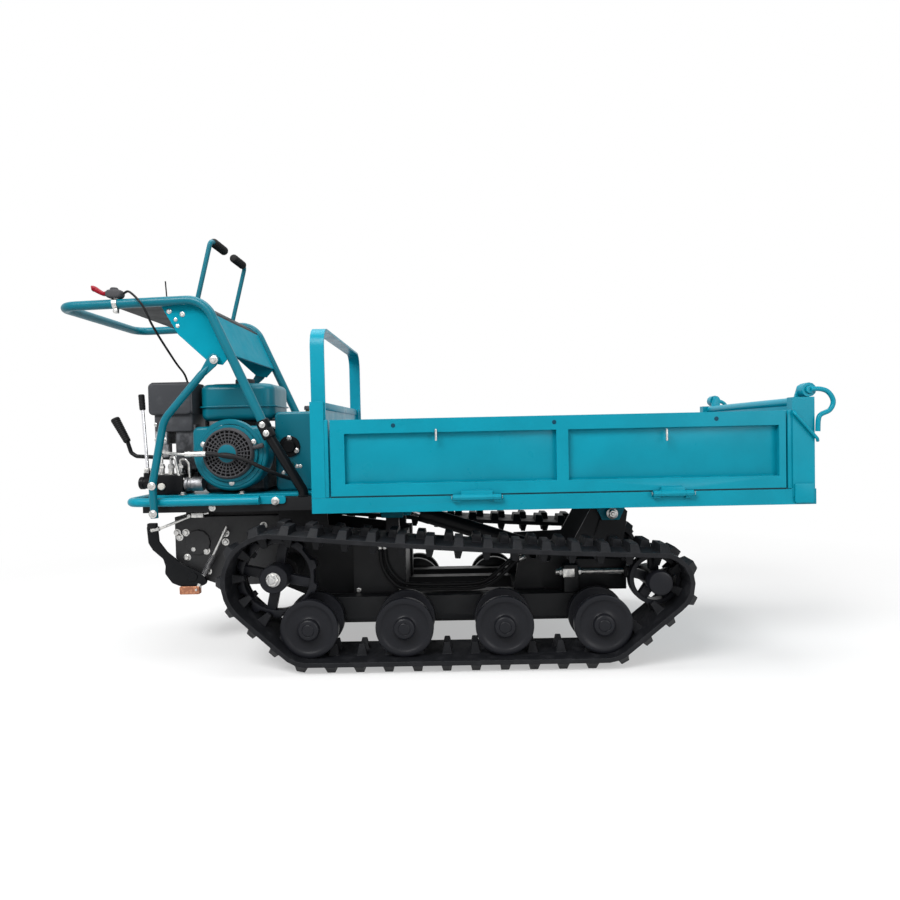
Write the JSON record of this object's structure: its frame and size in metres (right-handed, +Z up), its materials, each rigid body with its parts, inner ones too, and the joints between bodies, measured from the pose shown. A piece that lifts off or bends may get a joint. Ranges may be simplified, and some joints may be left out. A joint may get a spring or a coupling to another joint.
{
  "type": "tracked mini dumper",
  "caption": "Walk-behind tracked carrier with a tipping drop-side bed, rubber tracks, an open petrol engine and a U-shaped handle.",
  "frame": {"origin": "on the ground, under the middle of the machine's length and width", "axes": "+X towards the dump end, +Y to the operator's left, +Z up"},
  "size_m": [2.018, 0.74, 1.16],
  "materials": {
    "teal_paint": "glossy powder coat",
    "black_paint": "satin",
    "black_rubber": "matte",
    "black_plastic": "matte",
    "cast_metal": "cast",
    "chrome": "polished"
  },
  "bodies": {
    "chassis": {"chassis_frame": "black_paint", "gearbox": "black_paint", "brake_arm": "black_paint", "track_beam_right": "black_paint", "track_tensioner_right": "black_paint", "rubber_track_right": "black_rubber", "drive_sprocket_right": "black_paint", "idler_wheel_right": "black_paint", "road_roller_right_1": "black_paint", "road_roller_right_2": "black_paint", "road_roller_right_3": "black_paint", "road_roller_right_4": "black_paint", "track_beam_left": "black_paint", "track_tensioner_left": "black_paint", "rubber_track_left": "black_rubber", "drive_sprocket_left": "black_paint", "idler_wheel_left": "black_paint", "road_roller_left_1": "black_paint", "road_roller_left_2": "black_paint", "road_roller_left_3": "black_paint", "road_roller_left_4": "black_paint", "engine_deck": "teal_paint", "engine_block": "cast_metal", "blower_housing": "teal_paint", "recoil_starter": "black_plastic", "fuel_tank": "teal_paint", "air_cleaner": "black_plastic", "muffler": "cast_metal", "oil_tank": "teal_paint", "belt_guard": "black_paint", "valve_block": "cast_metal", "valve_lever": "chrome", "gear_lever": "black_paint", "rear_bumper": "teal_paint", "handlebar": "teal_paint", "console_plate": "teal_paint", "throttle_lever": "black_plastic", "handle_strut_right": "black_paint", "handle_brace_right": "teal_paint", "steering_lever_right": "teal_paint", "handle_strut_left": "black_paint", "handle_brace_left": "teal_paint", "steering_lever_left": "teal_paint", "throttle_cable": "black_rubber", "pressure_hose": "black_rubber", "cylinder_hose_1": "black_rubber", "cylinder_hose_2": "black_rubber"},
    "bed": {"bed_frame": "teal_paint", "headboard": "teal_paint"},
    "side_gate_right": {"side_gate_right": "teal_paint"},
    "side_gate_left": {"side_gate_left": "teal_paint"},
    "tailgate": {"tailgate": "teal_paint"},
    "cylinder_barrel": {"cylinder_barrel": "black_paint"},
    "cylinder_rod": {"cylinder_rod": "chrome"}
  },
  "joints": [
    {"name": "bed_tilt", "type": "hinge", "parent": "chassis", "child": "bed", "pos_m": [0.49, 0, 0.366], "axis": [0, 1, 0], "range_deg": [0, 40]},
    {"name": "side_gate_right_hinge", "type": "hinge", "parent": "bed", "child": "side_gate_right", "pos_m": [0.3145, -0.339, 0.437], "axis": [1, 0, 0], "range_deg": [0, 135]},
    {"name": "side_gate_left_hinge", "type": "hinge", "parent": "bed", "child": "side_gate_left", "pos_m": [0.3145, 0.339, 0.437], "axis": [-1, 0, 0], "range_deg": [0, 135]},
    {"name": "tailgate_hinge", "type": "hinge", "parent": "bed", "child": "tailgate", "pos_m": [0.947, 0, 0.69], "axis": [0, -1, 0], "range_deg": [0, 90]},
    {"name": "cylinder_swing", "type": "hinge", "parent": "chassis", "child": "cylinder_barrel", "pos_m": [0.3, 0, 0.245], "axis": [0, 1, 0], "range_deg": [0, 45.3]},
    {"name": "cylinder_stroke", "type": "slide", "parent": "cylinder_barrel", "child": "cylinder_rod", "axis": [-0.951, 0, 0.3091], "range_m": [0, 0.149]}
  ],
  "couplings": [
    {"joint": "cylinder_swing", "follows": "bed_tilt", "ratio": 1.1299},
    {"joint": "cylinder_stroke", "follows": "bed_tilt", "m_per_rad": 0.2114}
  ]
}
